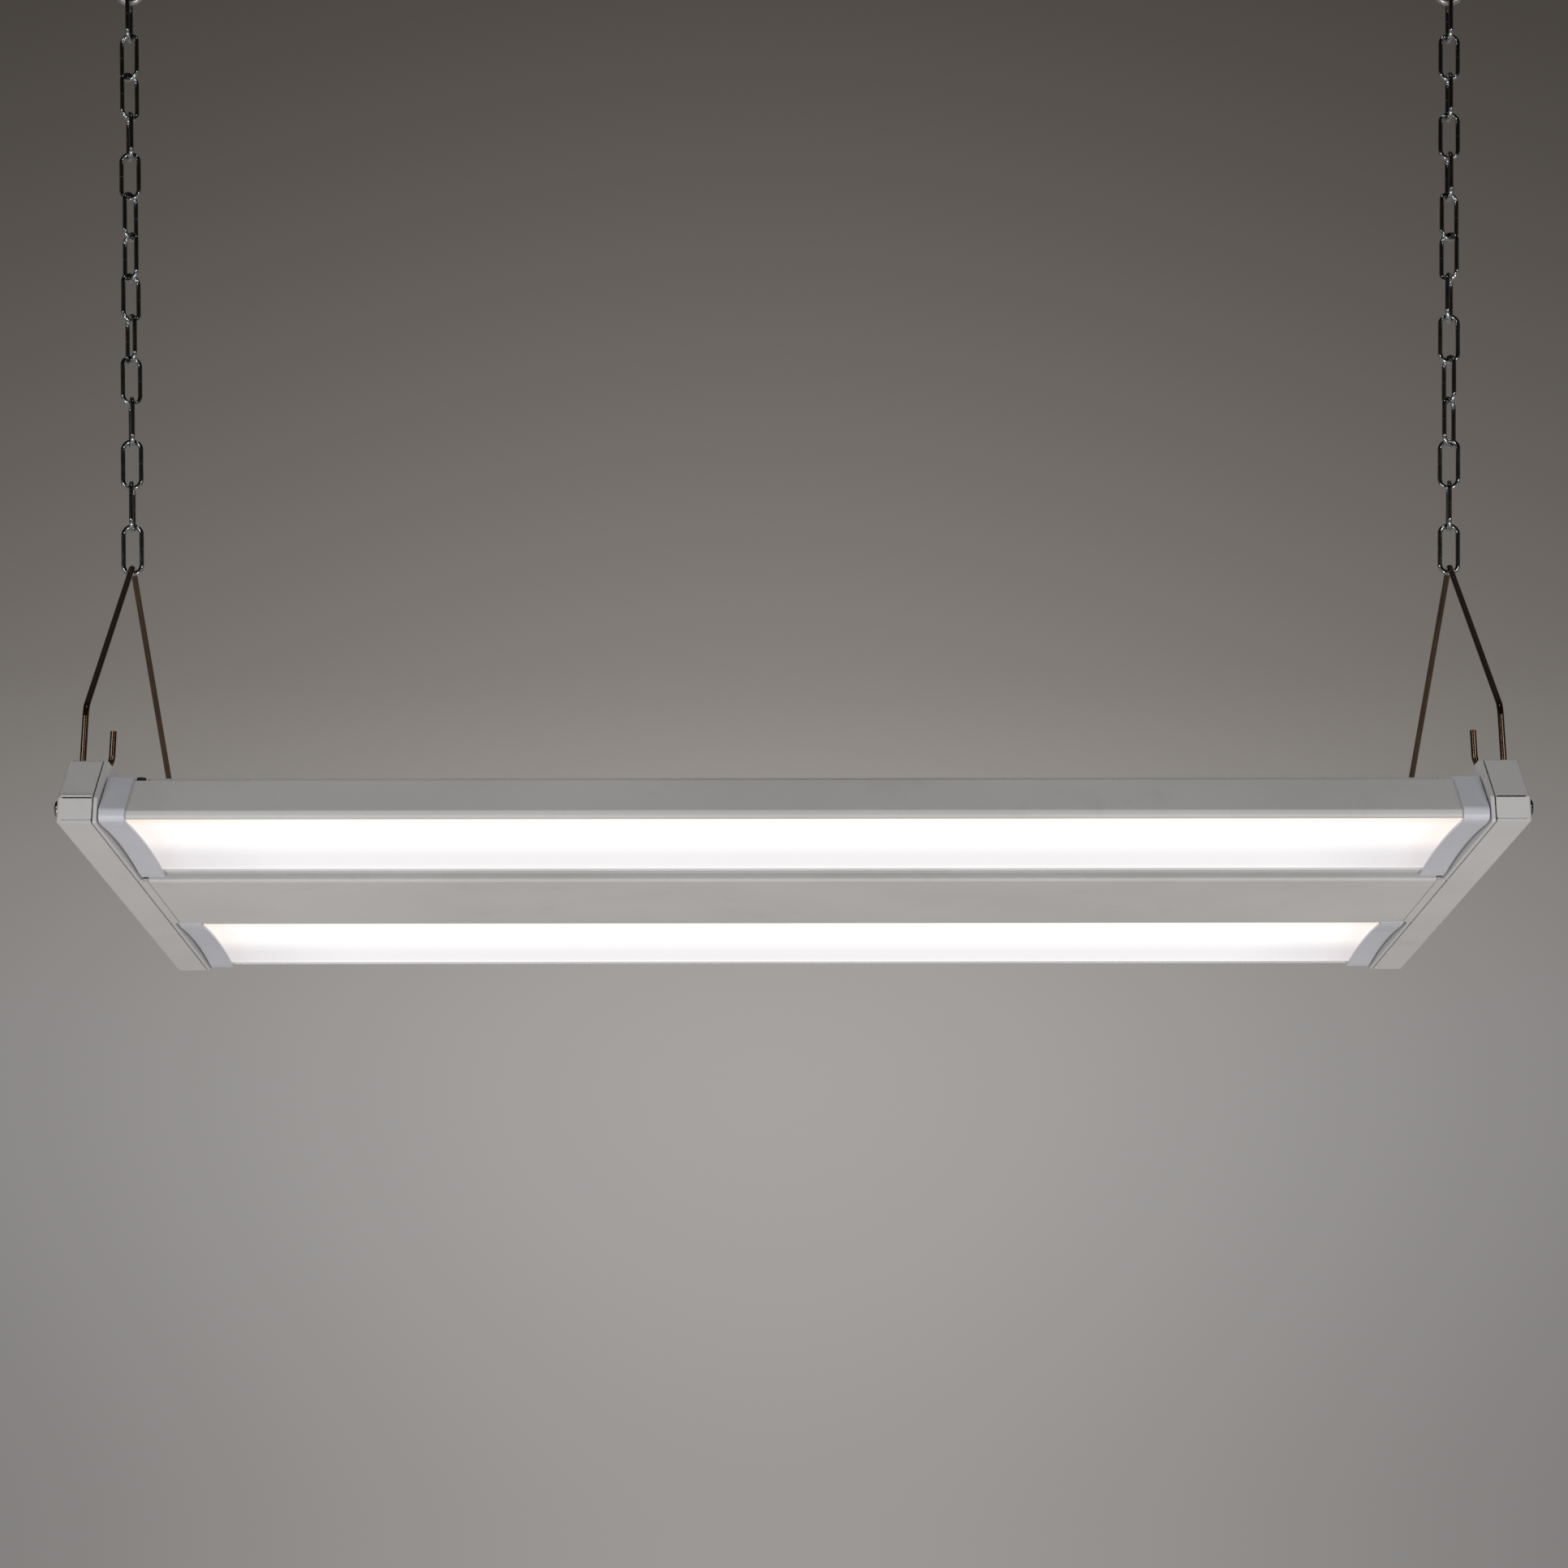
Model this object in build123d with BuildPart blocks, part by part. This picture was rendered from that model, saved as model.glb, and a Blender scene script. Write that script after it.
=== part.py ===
"""Two-bar LED grow lamp, hung by two link chains from a pair of ceiling screw hooks.

Millimetres. +X runs along the lamp, +Y from its front to its back, +Z up.
The origin is on the ceiling, halfway between the two screw hooks.
"left" is -X, "right" is +X, "front" is -Y and "rear" is +Y.
"""

import os
from math import acos, atan2, cos, degrees, radians, sin, tan

from build123d import *

# ---------------------------------------------------------------- lamp frame
LAMP_LENGTH = 620.0  # over the two end channels
LAMP_DEPTH = 288.0
CHANNEL_HEIGHT = 32.0
CHANNEL_WIDTH = 14.7
CHANNEL_FACE = 11.0  # upright part of the channel's front and rear ends
CHANNEL_SLOPE_RUN = 17.0  # depth of the sloping part above it
SHEET = 1.0  # all folded steel sheet
SHEET_BEND = 1.2  # outer radius of a fold
SEAM = 0.5  # open seam between two folded tabs
PLATE_SHEET = 1.6  # end plate
PLATE_GAP = 0.6  # between the channel's open side and the end plate
PLATE_RELIEF = 1.2  # radius of the notches at the ends of the plate's lower lug

# ---------------------------------------------------------------- light bars
BAR_WIDTH = 99.0
BAR_TOP = 24.4
BAR_BOTTOM = 1.0  # lowest edges of the bar's end caps, above the channel's floor
BAR_FACE_TOP = 6.1  # top of the bar's upright outer face
BAR_SLOPE_RUN = 15.7
BAR_CORNER = 3.0
BAR_TOP_CORNER = 2.0
BAR_INNER_CORNER = 1.5
SMALLEST_CORNER = 0.4
ARCH_RISE = 1.8  # how far the underside arches upwards
ARCH_MARGIN = 8.0  # flat strip between the arch and the bar's sides
CAP_LENGTH = 10.9
CAP_GAP = 0.7  # to the end plate
CAP_WALL = 1.2
CAP_END = 1.5
CAP_PEG_RADIUS = 3.0
FIT = 0.2  # housing in its cap, and lens in its housing
LENS_THICKNESS = 1.5
LIP_OUTER = 3.6  # cap face to the lens opening, outer side
LIP_INNER = 6.4  # cap face to the lens opening, inner side
BOARD_WIDTH = 60.0
BOARD_THICKNESS = 1.6
BOARD_END_GAP = 12.0
CHIP_SIZE = 5.0
CHIP_HEIGHT = 0.8
CHIPS_PER_ROW = 18
CHIP_LINE_SPACING = 30.0

# ---------------------------------------------------------------- centre box
TRAY_SIDE_GAP = 3.5  # to the bars beside it
TRAY_FLANGE = 8.0
TRAY_BEND = 1.5  # outer radius of the tray's folds
TRAY_END_GAP = 2.8  # tray's end to the end plate
TRAY_LOW_END = 13.5  # length of the lowered side walls at each end
TRAY_LOW_DROP = 3.0
COVER_END_GAP = 16.0  # cover's end to the end plate
COVER_EDGE_INSET = 24.0  # cover's edge to the lamp's front
COVER_LIP_GAP = 6.0  # cover's end lip to the tray
LUG_LENGTH = 12.0  # lower lug, which steps up into the tray
LUG_STEP_GAP = 0.3  # between the tray's end and the step
LUG_OVERLAP = 14.0  # upper lug under the top cover
LUG_SIDE_GAP = 7.5  # upper lug to the tray's flanges
LOWER_LUG_CLEARANCE = 0.5
DRIVER_LENGTH = 180.0
DRIVER_WIDTH = 42.0
DRIVER_HEIGHT = 17.0
DRIVER_CHAMFER = 2.0
DRIVER_EAR = 12.0
DRIVER_EAR_THICKNESS = 2.0

# ---------------------------------------------------------------- power inlet
INLET_INSET = 62.1  # from the cover's end
INLET_FLANGE = (31.0, 24.0)
INLET_FLANGE_THICKNESS = 2.5
INLET_BODY = (27.0, 19.8)
INLET_BODY_DEPTH = 8.0  # below the cover's top
INLET_RISE = 17.0  # its mouth above the cover
INLET_SOCKET = (24.4, 16.4)
INLET_SOCKET_DEPTH = 15.0
INLET_CORNER = 4.5
INLET_EDGE = 0.8
BLADE = (2.0, 4.0)
BLADE_LENGTH = 13.5
BLADE_SPREAD = 7.0
BLADE_EARTH_OFFSET = 2.0

# ---------------------------------------------------------------- fasteners
BAR_SCREW_INSET = 77.5  # from the cover's end
TRAY_SCREW_INSET = 127.5
SIDE_SCREW_HEAD = (3.8, 2.2)  # radius, height
SIDE_SCREW_RADIUS = 1.95
SIDE_SCREW_LENGTH = 9.0
SIDE_SCREW_INSET = 8.0  # from the channel's end
SIDE_SCREW_HEIGHT = 8.0
STANDOFF_RADIUS = 3.6
THREAD_CLEARANCE = 0.05
TOP_SCREW_HEAD = (2.8, 1.8)
TOP_SCREW_RADIUS = 1.45
TOP_SCREW_LENGTH = 3.8
SLOT_WIDTH = 0.9
SLOT_DEPTH = 0.9
PAD_RADIUS = 5.0

# ---------------------------------------------------------------- leads
LEAD_RADIUS = 1.0
LEAD_TIGHT_BEND = 1.1
LEAD_BEND = 2.2
LEAD_WIDE_BEND = 40.0
LEAD_SLACK = 30.0  # straight run of a lead out of a box
GROMMET_RADIUS = 2.1
GROMMET_HEIGHT = 2.4
LEAD_CLEARANCE = 0.05
GROMMET_INSET = 21.5  # from the bar's outer face

# ---------------------------------------------------------------- suspension
LEAN = 3.4  # degrees, each chain leans outwards going up
HANGER_WIRE = 2.8
HANGER_INSET = 3.1  # leg's centre to the channel's outer face
HANGER_END_INSET = 13.6  # leg to the end of the channel's flat top
HANGER_HOOK_WIDTH = 12.5  # leg to the free end, centre to centre
HANGER_HOOK_GAP = 0.4  # under the flange
HANGER_HEEL_BEND = 2.4
HANGER_KNEE_HEIGHT = 2.4  # corner where the free end turns under the flange
HANGER_KNEE_BEND = 8.0
HANGER_TOE_BEND = 4.0
HANGER_TIP_HEIGHT = 17.0
HANGER_BEND_HEIGHT = 28.0
HANGER_BEND = 9.0
HANGER_HEIGHT = 132.0
HANGER_APEX_OUT = 7.1
HANGER_APEX_BEND = 4.2
HANGER_HOLE_CLEARANCE = 0.4
# How far each link is turned about its chain's line, in degrees, from the lowest link up.
# The count is even and the last turn a half turn, so that the top link hangs square on its hook.
LEFT_CHAIN_TWIST = (0, 4, 2, 16, 29, 34, 43, 50, 62, 86, 110, 134, 158, 180)
RIGHT_CHAIN_TWIST = (0, -7, -17, -42, -68, -90, -112, -134, -156, -178, -180, -180, -180, -180)
LINK_COUNT = len(LEFT_CHAIN_TWIST)
LINK_WIRE = 2.2
LINK_PITCH = 21.8
LINK_WIDTH = 10.8
LINK_GAP = 0.12
LINK_SEAM = 0.3
LINK_SEAM_DEPTH = 0.2
HOOK_WIRE = 3.4
HOOK_RADIUS = 6.7  # centreline of the round hook
HOOK_NECK = 4.0
HOOK_NECK_BEND = 4.0
HOOK_TIP_ANGLE = 20.0
HOOK_FLANGE = (5.0, 1.5)  # radius, thickness
HOOK_SCREW_RADIUS = 1.9
HOOK_SCREW_LENGTH = 20.0
HOOK_SCREW_POINT = 4.0

# ---------------------------------------------------------------- derived places
half_length = LAMP_LENGTH / 2
half_depth = LAMP_DEPTH / 2
channel_open_x = half_length - CHANNEL_WIDTH
plate_outer_x = channel_open_x - PLATE_GAP
plate_inner_x = plate_outer_x - PLATE_SHEET

cap_inner_x = plate_inner_x - CAP_GAP - CAP_LENGTH
cap_outer_x = cap_inner_x + CAP_LENGTH
housing_end_x = cap_outer_x - CAP_END - FIT
housing_inset = CAP_WALL + FIT
housing_top = BAR_TOP - housing_inset

cover_bottom = housing_top + 2 * SHEET
cover_top = cover_bottom + SHEET
cover_length = 2 * (plate_inner_x - COVER_END_GAP)
cover_depth = 2 * (half_depth - COVER_EDGE_INSET)
tray_end_x = plate_inner_x - TRAY_END_GAP
inlet_x = cover_length / 2 - INLET_INSET
tray_width = 2 * (half_depth - BAR_WIDTH - TRAY_SIDE_GAP)
upper_lug_half = tray_width / 2 - TRAY_FLANGE - LUG_SIDE_GAP
side_screw_y = half_depth - SIDE_SCREW_INSET

hook_neck_angle = degrees(acos(HOOK_NECK_BEND / (HOOK_NECK_BEND + HOOK_RADIUS)))
hook_centre_drop = (
    HOOK_FLANGE[1] + HOOK_NECK + (HOOK_NECK_BEND + HOOK_RADIUS) * sin(radians(hook_neck_angle))
)
hook_wire_z = -hook_centre_drop - HOOK_RADIUS

# Distances along a chain's leaning line, from the centre of the hanger's wire at its apex.
first_link_low = -HANGER_WIRE / 2 - LINK_GAP - LINK_WIRE / 2
link_inner = LINK_PITCH + LINK_GAP
last_link_high = first_link_low + (LINK_COUNT - 1) * LINK_PITCH + link_inner + LINK_WIRE
hook_along = last_link_high - LINK_WIRE / 2 - LINK_GAP - HOOK_WIRE / 2

hanger_x = half_length - HANGER_INSET
hanger_half_spread = half_depth - CHANNEL_SLOPE_RUN - HANGER_END_INSET
apex_x = hanger_x + HANGER_APEX_OUT
hook_x = apex_x + hook_along * sin(radians(LEAN))
apex_z = hook_wire_z - hook_along * cos(radians(LEAN))
lamp_z = apex_z - HANGER_HEIGHT - CHANNEL_HEIGHT

os.makedirs("parts", exist_ok=True)


def save(part, name):
    """Label a finished piece and write it."""
    part.label = name
    export_step(part, f"parts/{name}.step")


def level(height):
    """Horizontal plane at a height above the lamp's underside."""
    return Plane.XY.offset(lamp_z + height)


def section(x):
    """Upright plane across the lamp at x: its local axes are the row's Y and Z."""
    return Plane(origin=(x, 0, lamp_z), x_dir=(0, 1, 0), z_dir=(1, 0, 0))


def line_point(side, distance):
    """Point on a side's leaning chain line, from the hanger's apex upwards."""
    lean = radians(LEAN)
    return Vector(side * (apex_x + distance * sin(lean)), 0, apex_z + distance * cos(lean))


def line_direction(side):
    return Vector(side * sin(radians(LEAN)), 0, cos(radians(LEAN)))


# ================================================================ end channels
channel_outline = [
    (-half_depth, 0),
    (half_depth, 0),
    (half_depth, CHANNEL_FACE),
    (half_depth - CHANNEL_SLOPE_RUN, CHANNEL_HEIGHT),
    (-half_depth + CHANNEL_SLOPE_RUN, CHANNEL_HEIGHT),
    (-half_depth, CHANNEL_FACE),
]
# Seams between the folded tabs: place on the outline and the angle of the cut across the sheet.
channel_seams = [
    (half_depth, SHEET + SEAM, 0),
    (half_depth, CHANNEL_FACE, 20),
    (half_depth - CHANNEL_SLOPE_RUN, CHANNEL_HEIGHT, 64),
]
hanger_hole_radius = HANGER_WIRE / 2 + HANGER_HOLE_CLEARANCE
# The free end slants at 45 degrees through a notch in the flange's open edge.
notch_depth_x = hanger_x - HANGER_HOOK_WIDTH + HANGER_KNEE_HEIGHT + SHEET + HANGER_WIRE / 2 * 2**0.5
notch_round_x = notch_depth_x + HANGER_HOLE_CLEARANCE / 2 - hanger_hole_radius
notch_length = notch_round_x - channel_open_x


def end_channel(side, name):
    """Folded pan with a sloping top corner at each end, open towards the lamp's middle."""
    with BuildPart() as channel:
        with BuildSketch(section(side * channel_open_x)):
            Polygon(*channel_outline, align=None)
        extrude(amount=side * CHANNEL_WIDTH)
        outer_face = channel.faces().sort_by(Axis.X)[-1 if side > 0 else 0]
        fillet(outer_face.outer_wire().edges(), radius=SHEET_BEND)
        with BuildSketch(section(side * channel_open_x)):
            Polygon(*channel_outline, align=None)
            offset(amount=-SHEET, kind=Kind.INTERSECTION, mode=Mode.REPLACE)
        extrude(amount=side * (CHANNEL_WIDTH - SHEET), mode=Mode.SUBTRACT)
        seam_length = side * (CHANNEL_WIDTH - SHEET - SHEET_BEND)
        for end in (-1, 1):
            for seam_y, seam_z, turn in channel_seams:
                with BuildSketch(section(side * channel_open_x)):
                    with Locations(Location((end * seam_y, seam_z), end * turn)):
                        Rectangle(5 * SHEET, SEAM)
                extrude(amount=seam_length, mode=Mode.SUBTRACT)
            with BuildSketch(level(CHANNEL_HEIGHT)):
                with Locations((side * hanger_x, end * hanger_half_spread)):
                    Circle(hanger_hole_radius)
                with Locations((side * notch_round_x, end * hanger_half_spread)):
                    Circle(hanger_hole_radius)
                with Locations((side * channel_open_x, end * hanger_half_spread)):
                    Rectangle(2 * notch_length, 2 * hanger_hole_radius)
            extrude(amount=-2 * SHEET, mode=Mode.SUBTRACT)
            with BuildSketch(section(side * half_length)):
                with Locations((end * side_screw_y, SIDE_SCREW_HEIGHT)):
                    Circle(SIDE_SCREW_RADIUS + FIT)
            extrude(amount=-side * 2 * SHEET, mode=Mode.SUBTRACT)
    save(channel.part, name)


# ================================================================ end plates
def end_plate(side, name):
    """Flat inner plate with lugs for the centre box and standoffs for the channel's screws."""
    upper_lug_end = cover_length / 2 - LUG_OVERLAP
    lower_lug_width = tray_width - 2 * (SHEET + LOWER_LUG_CLEARANCE)
    step_end = tray_end_x + LUG_STEP_GAP
    relief_y = lower_lug_width / 2 + PLATE_RELIEF
    with BuildPart() as plate:
        with BuildSketch(section(side * plate_inner_x)):
            Polygon(*channel_outline, align=None)
            fillet(vertices(), radius=SHEET_BEND)
            with Locations((-relief_y, 0), (relief_y, 0)):
                Circle(PLATE_RELIEF, mode=Mode.SUBTRACT)
        extrude(amount=side * PLATE_SHEET)
        with BuildSketch(level(SHEET)):
            with Locations((side * (plate_outer_x - LUG_LENGTH / 2), 0)):
                Rectangle(LUG_LENGTH, lower_lug_width)
        extrude(amount=SHEET)
        with BuildSketch(level(0)):
            with Locations((side * (plate_outer_x + step_end) / 2, 0)):
                Rectangle(plate_outer_x - step_end, lower_lug_width)
        extrude(amount=SHEET)
        with BuildSketch(level(cover_bottom - SHEET)):
            with Locations((side * (plate_outer_x + upper_lug_end) / 2, 0)):
                Rectangle(plate_outer_x - upper_lug_end, 2 * upper_lug_half)
            with Locations(*[(side * lug_screw_x, y) for y in lug_screw_ys]):
                Circle(TOP_SCREW_RADIUS + THREAD_CLEARANCE, mode=Mode.SUBTRACT)
        extrude(amount=SHEET)
        for end in (-1, 1):
            with BuildSketch(section(side * plate_inner_x)):
                with Locations((end * side_screw_y, SIDE_SCREW_HEIGHT)):
                    Circle(STANDOFF_RADIUS)
            extrude(amount=side * (half_length - SHEET - plate_inner_x))
            with BuildSketch(section(side * (half_length - SHEET))):
                with Locations((end * side_screw_y, SIDE_SCREW_HEIGHT)):
                    Circle(SIDE_SCREW_RADIUS + THREAD_CLEARANCE)
            extrude(amount=-side * SIDE_SCREW_LENGTH, mode=Mode.SUBTRACT)
    save(plate.part, name)


def screw(plane, head, shank_radius, length):
    """Pan-head screw: the plane is the seat under its head, its normal points out of the head."""
    head_radius, head_height = head
    with BuildPart() as pan_head:
        with BuildSketch(plane):
            Circle(head_radius)
        extrude(amount=head_height)
        crown = pan_head.faces().sort_by(Axis(plane.origin, plane.z_dir))[-1]
        fillet(crown.edges(), radius=0.6 * head_height)
        with BuildSketch(plane):
            Circle(shank_radius)
        extrude(amount=-length)
        with BuildSketch(plane.offset(head_height)):
            Rectangle(1.1 * head_radius, SLOT_WIDTH)
            Rectangle(SLOT_WIDTH, 1.1 * head_radius)
        extrude(amount=-SLOT_DEPTH, mode=Mode.SUBTRACT)
    return pan_head.part


def screw_group(name, screws):
    """Identical screws share one node, each a solid of its own."""
    save(Compound(children=screws), name)


# ================================================================ light bars
def bar_outline(bar, inset):
    """Closed outline of a light bar, drawn in from its end cap's surface by inset.

    The bar's outer face is upright, then slopes to its flat top; its underside arches up.
    """
    half_width = BAR_WIDTH / 2
    middle = half_depth - half_width
    arch_half = half_width - ARCH_MARGIN
    outer = half_depth - inset
    inner = half_depth - BAR_WIDTH + inset
    face_turn = atan2(BAR_SLOPE_RUN, BAR_TOP - BAR_FACE_TOP)
    top_turn = radians(90) - face_turn
    slope_low = (outer, BAR_FACE_TOP - inset * tan(face_turn / 2))
    slope_high = (half_depth - BAR_SLOPE_RUN - inset * tan(top_turn / 2), BAR_TOP - inset)
    bottom = BAR_BOTTOM + inset
    with BuildSketch(mode=Mode.PRIVATE) as outline:
        with BuildLine():
            Polyline(
                (middle - arch_half, bottom),
                (inner, bottom),
                (inner, BAR_TOP - inset),
                slope_high,
                slope_low,
                (outer, bottom),
                (middle + arch_half, bottom),
            )
            ThreePointArc(
                (middle + arch_half, bottom), (middle, bottom + ARCH_RISE), (middle - arch_half, bottom)
            )
        make_face()
        for corner, radius in (
            ((inner, bottom), BAR_INNER_CORNER),
            ((inner, BAR_TOP - inset), BAR_INNER_CORNER),
            (slope_high, BAR_TOP_CORNER),
            (slope_low, BAR_CORNER),
            ((outer, bottom), BAR_CORNER),
        ):
            fillet(
                outline.vertices().sort_by_distance(corner)[0],
                radius=max(radius - inset, SMALLEST_CORNER),
            )
        if bar < 0:
            mirror(about=Plane.YZ, mode=Mode.REPLACE)
    return outline.sketch


def lens_opening(bar):
    """Rectangle of the housing's open underside, in the section plane."""
    inner = half_depth - BAR_WIDTH + LIP_INNER
    outer = half_depth - LIP_OUTER
    with BuildSketch(mode=Mode.PRIVATE) as opening:
        with Locations((bar * (inner + outer) / 2, BAR_BOTTOM)):
            Rectangle(outer - inner, 2 * (housing_inset + SHEET + ARCH_RISE))
    return opening.sketch


def bar_housing(bar, name):
    """Folded sheet trough, open below for the lens and at its ends for the caps."""
    with BuildPart() as housing:
        with BuildSketch(section(-housing_end_x)):
            add(bar_outline(bar, housing_inset))
            add(bar_outline(bar, housing_inset + SHEET), mode=Mode.SUBTRACT)
            add(lens_opening(bar), mode=Mode.SUBTRACT)
        extrude(amount=2 * housing_end_x)
        with BuildSketch(level(housing_top)):
            with Locations((-lead_x, bar * grommet_y)):
                Circle(GROMMET_RADIUS)
            with Locations(*[(x, bar * y) for x, y in bar_screws]):
                Circle(TOP_SCREW_RADIUS + THREAD_CLEARANCE)
        extrude(amount=-2 * SHEET, mode=Mode.SUBTRACT)
    save(housing.part, name)


def bar_lens(bar, name):
    """Frosted diffuser that lies on the housing's lips and follows the arch."""
    inside = bar_outline(bar, housing_inset + SHEET + FIT / 2)
    with BuildPart() as lens:
        with BuildSketch(section(-housing_end_x + FIT)):
            add(inside)
            with Locations((0, LENS_THICKNESS)):
                add(inside, mode=Mode.SUBTRACT)
        extrude(amount=2 * (housing_end_x - FIT))
    save(lens.part, name)


def bar_cap(side, bar, name):
    """Moulded end cap: a shallow cup over the bar's end, with two pegs against the end plate."""
    peg_y = half_depth - BAR_WIDTH / 2
    with BuildPart() as cap:
        with BuildSketch(section(side * cap_inner_x)):
            add(bar_outline(bar, 0))
        extrude(amount=side * CAP_LENGTH)
        with BuildSketch(section(side * cap_inner_x)):
            add(bar_outline(bar, CAP_WALL))
        extrude(amount=side * (CAP_LENGTH - CAP_END), mode=Mode.SUBTRACT)
        with BuildSketch(section(side * cap_outer_x)):
            with Locations(*[(bar * (peg_y + dy), BAR_TOP / 2) for dy in (-BAR_WIDTH / 4, BAR_WIDTH / 4)]):
                Circle(CAP_PEG_RADIUS)
        extrude(amount=side * (plate_inner_x - cap_outer_x))
    save(cap.part, name)


def led_board(bar, name):
    """Aluminium board under the housing's top."""
    with BuildPart() as board:
        with BuildSketch(level(board_top)):
            with Locations((0, bar * board_y)):
                Rectangle(2 * (housing_end_x - BOARD_END_GAP), BOARD_WIDTH)
        extrude(amount=-BOARD_THICKNESS)
    save(board.part, name)


def led_chips(bar, name):
    """Two rows of square chips on the board's underside, each a solid of its own."""
    chip_pitch = 2 * (housing_end_x - BOARD_END_GAP) / CHIPS_PER_ROW
    with BuildPart() as chips:
        with BuildSketch(level(board_top - BOARD_THICKNESS)):
            with Locations((0, bar * board_y)):
                with GridLocations(chip_pitch, CHIP_LINE_SPACING, CHIPS_PER_ROW, 2):
                    Rectangle(CHIP_SIZE, CHIP_SIZE)
        extrude(amount=-CHIP_HEIGHT)
    save(chips.part, name)


board_top = housing_top - SHEET
board_y = half_depth - (BAR_WIDTH + BAR_SLOPE_RUN) / 2
lead_x = (cap_inner_x + cover_length / 2) / 2
grommet_y = half_depth - GROMMET_INSET
bar_screw_y = half_depth - BAR_WIDTH / 2
bar_screw_x = cover_length / 2 - BAR_SCREW_INSET
bar_screws = [(x, bar_screw_y) for x in (-bar_screw_x, 0.0, bar_screw_x)]
tray_screw_y = tray_width / 2 - TRAY_FLANGE / 2
tray_screw_x = cover_length / 2 - TRAY_SCREW_INSET
tray_screws = [(x, y) for x in (-tray_screw_x, tray_screw_x) for y in (-tray_screw_y, tray_screw_y)]
lug_screw_x = cover_length / 2 - LUG_OVERLAP / 2
lug_screw_ys = (-upper_lug_half / 2, upper_lug_half / 2)
driver_screw_x = (DRIVER_LENGTH + DRIVER_EAR) / 2

# ================================================================ centre box
with BuildPart() as center_tray:
    with BuildSketch(section(-tray_end_x)):
        with Locations((0, cover_bottom / 2)):
            Rectangle(tray_width, cover_bottom)
            fillet(vertices().group_by(Axis.Y)[0], radius=TRAY_BEND)
            Rectangle(tray_width - 2 * SHEET, cover_bottom - 2 * SHEET, mode=Mode.SUBTRACT)
        with Locations((0, cover_bottom - SHEET / 2)):
            Rectangle(tray_width - 2 * TRAY_FLANGE, SHEET, mode=Mode.SUBTRACT)
    extrude(amount=2 * tray_end_x)
    for side in (-1, 1):
        with BuildSketch(level(cover_bottom)):
            with Locations((side * (tray_end_x - TRAY_LOW_END / 2), 0)):
                Rectangle(TRAY_LOW_END, tray_width)
        extrude(amount=-TRAY_LOW_DROP, mode=Mode.SUBTRACT)
    with BuildSketch(level(cover_bottom)):
        with Locations(*tray_screws):
            Circle(TOP_SCREW_RADIUS + THREAD_CLEARANCE)
    extrude(amount=-SHEET, mode=Mode.SUBTRACT)
save(center_tray.part, "center_tray")

with BuildPart() as top_cover:
    with BuildSketch(level(cover_bottom)):
        Rectangle(cover_length, cover_depth)
        fillet(vertices(), radius=SHEET_BEND)
    extrude(amount=SHEET)
    lip_inner_y = tray_width / 2 + COVER_LIP_GAP
    with BuildSketch(level(cover_bottom)):
        Rectangle(cover_length, cover_depth)
        fillet(vertices(), radius=SHEET_BEND)
        Rectangle(cover_length - 2 * SHEET, cover_depth - 2 * SHEET, mode=Mode.SUBTRACT)
        Rectangle(cover_length, 2 * lip_inner_y, mode=Mode.SUBTRACT)
    extrude(amount=housing_top - cover_bottom)
    with BuildSketch(level(cover_bottom)):
        with Locations(*[(x, bar * y) for x, y in bar_screws for bar in (-1, 1)]):
            Circle(PAD_RADIUS)
    extrude(amount=housing_top - cover_bottom)
    with BuildSketch(level(cover_top)):
        with Locations(*[(x, bar * y) for x, y in bar_screws for bar in (-1, 1)]):
            Circle(TOP_SCREW_RADIUS + THREAD_CLEARANCE)
        with Locations(*tray_screws):
            Circle(TOP_SCREW_RADIUS + THREAD_CLEARANCE)
        with Locations(*[(side * lug_screw_x, y) for side in (-1, 1) for y in lug_screw_ys]):
            Circle(TOP_SCREW_RADIUS + THREAD_CLEARANCE)
        with Locations((-driver_screw_x, 0), (driver_screw_x, 0)):
            Circle(TOP_SCREW_RADIUS + THREAD_CLEARANCE)
        with Locations((inlet_x, 0)):
            Rectangle(INLET_BODY[0] + FIT, INLET_BODY[1] + FIT)
    extrude(amount=housing_top - cover_top, mode=Mode.SUBTRACT)
save(top_cover.part, "top_cover")

with BuildPart() as driver:
    with BuildSketch(level(cover_bottom)):
        Rectangle(DRIVER_LENGTH, DRIVER_WIDTH)
    extrude(amount=-DRIVER_HEIGHT)
    chamfer(driver.edges().filter_by(Axis.X).group_by(Axis.Z)[0], length=DRIVER_CHAMFER)
    with BuildSketch(level(cover_bottom)):
        Rectangle(DRIVER_LENGTH + 2 * DRIVER_EAR, DRIVER_WIDTH / 2)
        with Locations((-driver_screw_x, 0), (driver_screw_x, 0)):
            Circle(TOP_SCREW_RADIUS + THREAD_CLEARANCE, mode=Mode.SUBTRACT)
    extrude(amount=-DRIVER_EAR_THICKNESS)
save(driver.part, "led_driver")

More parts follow.
